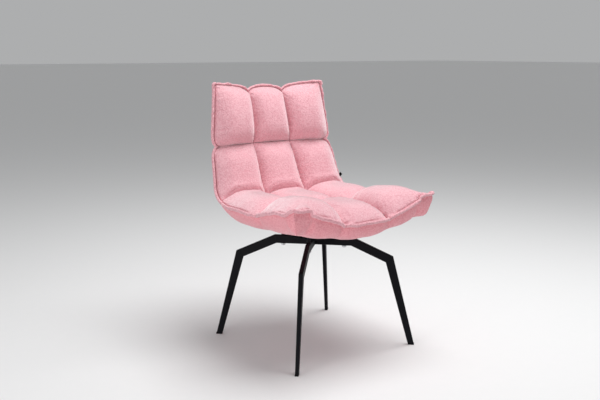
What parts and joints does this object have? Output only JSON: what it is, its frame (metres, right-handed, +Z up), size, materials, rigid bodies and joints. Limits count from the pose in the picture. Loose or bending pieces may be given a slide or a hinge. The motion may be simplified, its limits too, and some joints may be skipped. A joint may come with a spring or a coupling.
{
  "type": "quilted lounge chair",
  "caption": "Armless lounge chair: a quilted upholstered seat and back in one shell, on a splayed cross base of flat steel tube with small foot pads.",
  "frame": {"origin": "on the floor, under the middle of the chair's outline", "axes": "+Z up, the sitter looks along -Y, +X is the sitter's left"},
  "size_m": [0.55, 0.6092, 0.8498],
  "materials": {
    "pink_boucle": "matte",
    "foam": "matte",
    "shell_plastic": "matte",
    "black_steel": "satin",
    "zinc_steel": "satin",
    "black_plastic": "matte",
    "black_tape": "matte"
  },
  "bodies": {
    "root": {"centre_beam": "black_steel", "half_beam_left": "black_steel", "half_beam_right": "black_steel", "centre_plate": "black_steel", "arm_front_left": "black_steel", "leg_front_left": "black_steel", "foot_glide_front_left": "black_plastic", "spacer_front_left": "black_plastic", "washer_front_left": "zinc_steel", "bolt_front_left": "zinc_steel", "tee_nut_front_left": "zinc_steel", "arm_front_right": "black_steel", "leg_front_right": "black_steel", "foot_glide_front_right": "black_plastic", "spacer_front_right": "black_plastic", "washer_front_right": "zinc_steel", "bolt_front_right": "zinc_steel", "tee_nut_front_right": "zinc_steel", "arm_rear_left": "black_steel", "leg_rear_left": "black_steel", "foot_glide_rear_left": "black_plastic", "spacer_rear_left": "black_plastic", "washer_rear_left": "zinc_steel", "bolt_rear_left": "zinc_steel", "tee_nut_rear_left": "zinc_steel", "arm_rear_right": "black_steel", "leg_rear_right": "black_steel", "foot_glide_rear_right": "black_plastic", "spacer_rear_right": "black_plastic", "washer_rear_right": "zinc_steel", "bolt_rear_right": "zinc_steel", "tee_nut_rear_right": "zinc_steel", "body_shell": "shell_plastic", "seat_foam": "foam", "back_foam": "foam", "seat_quilted_cover": "pink_boucle", "back_quilted_cover": "pink_boucle", "seat_underside_cover": "pink_boucle", "back_rear_cover": "pink_boucle", "edge_flange": "pink_boucle", "blank_label": "black_tape"}
  },
  "joints": []
}
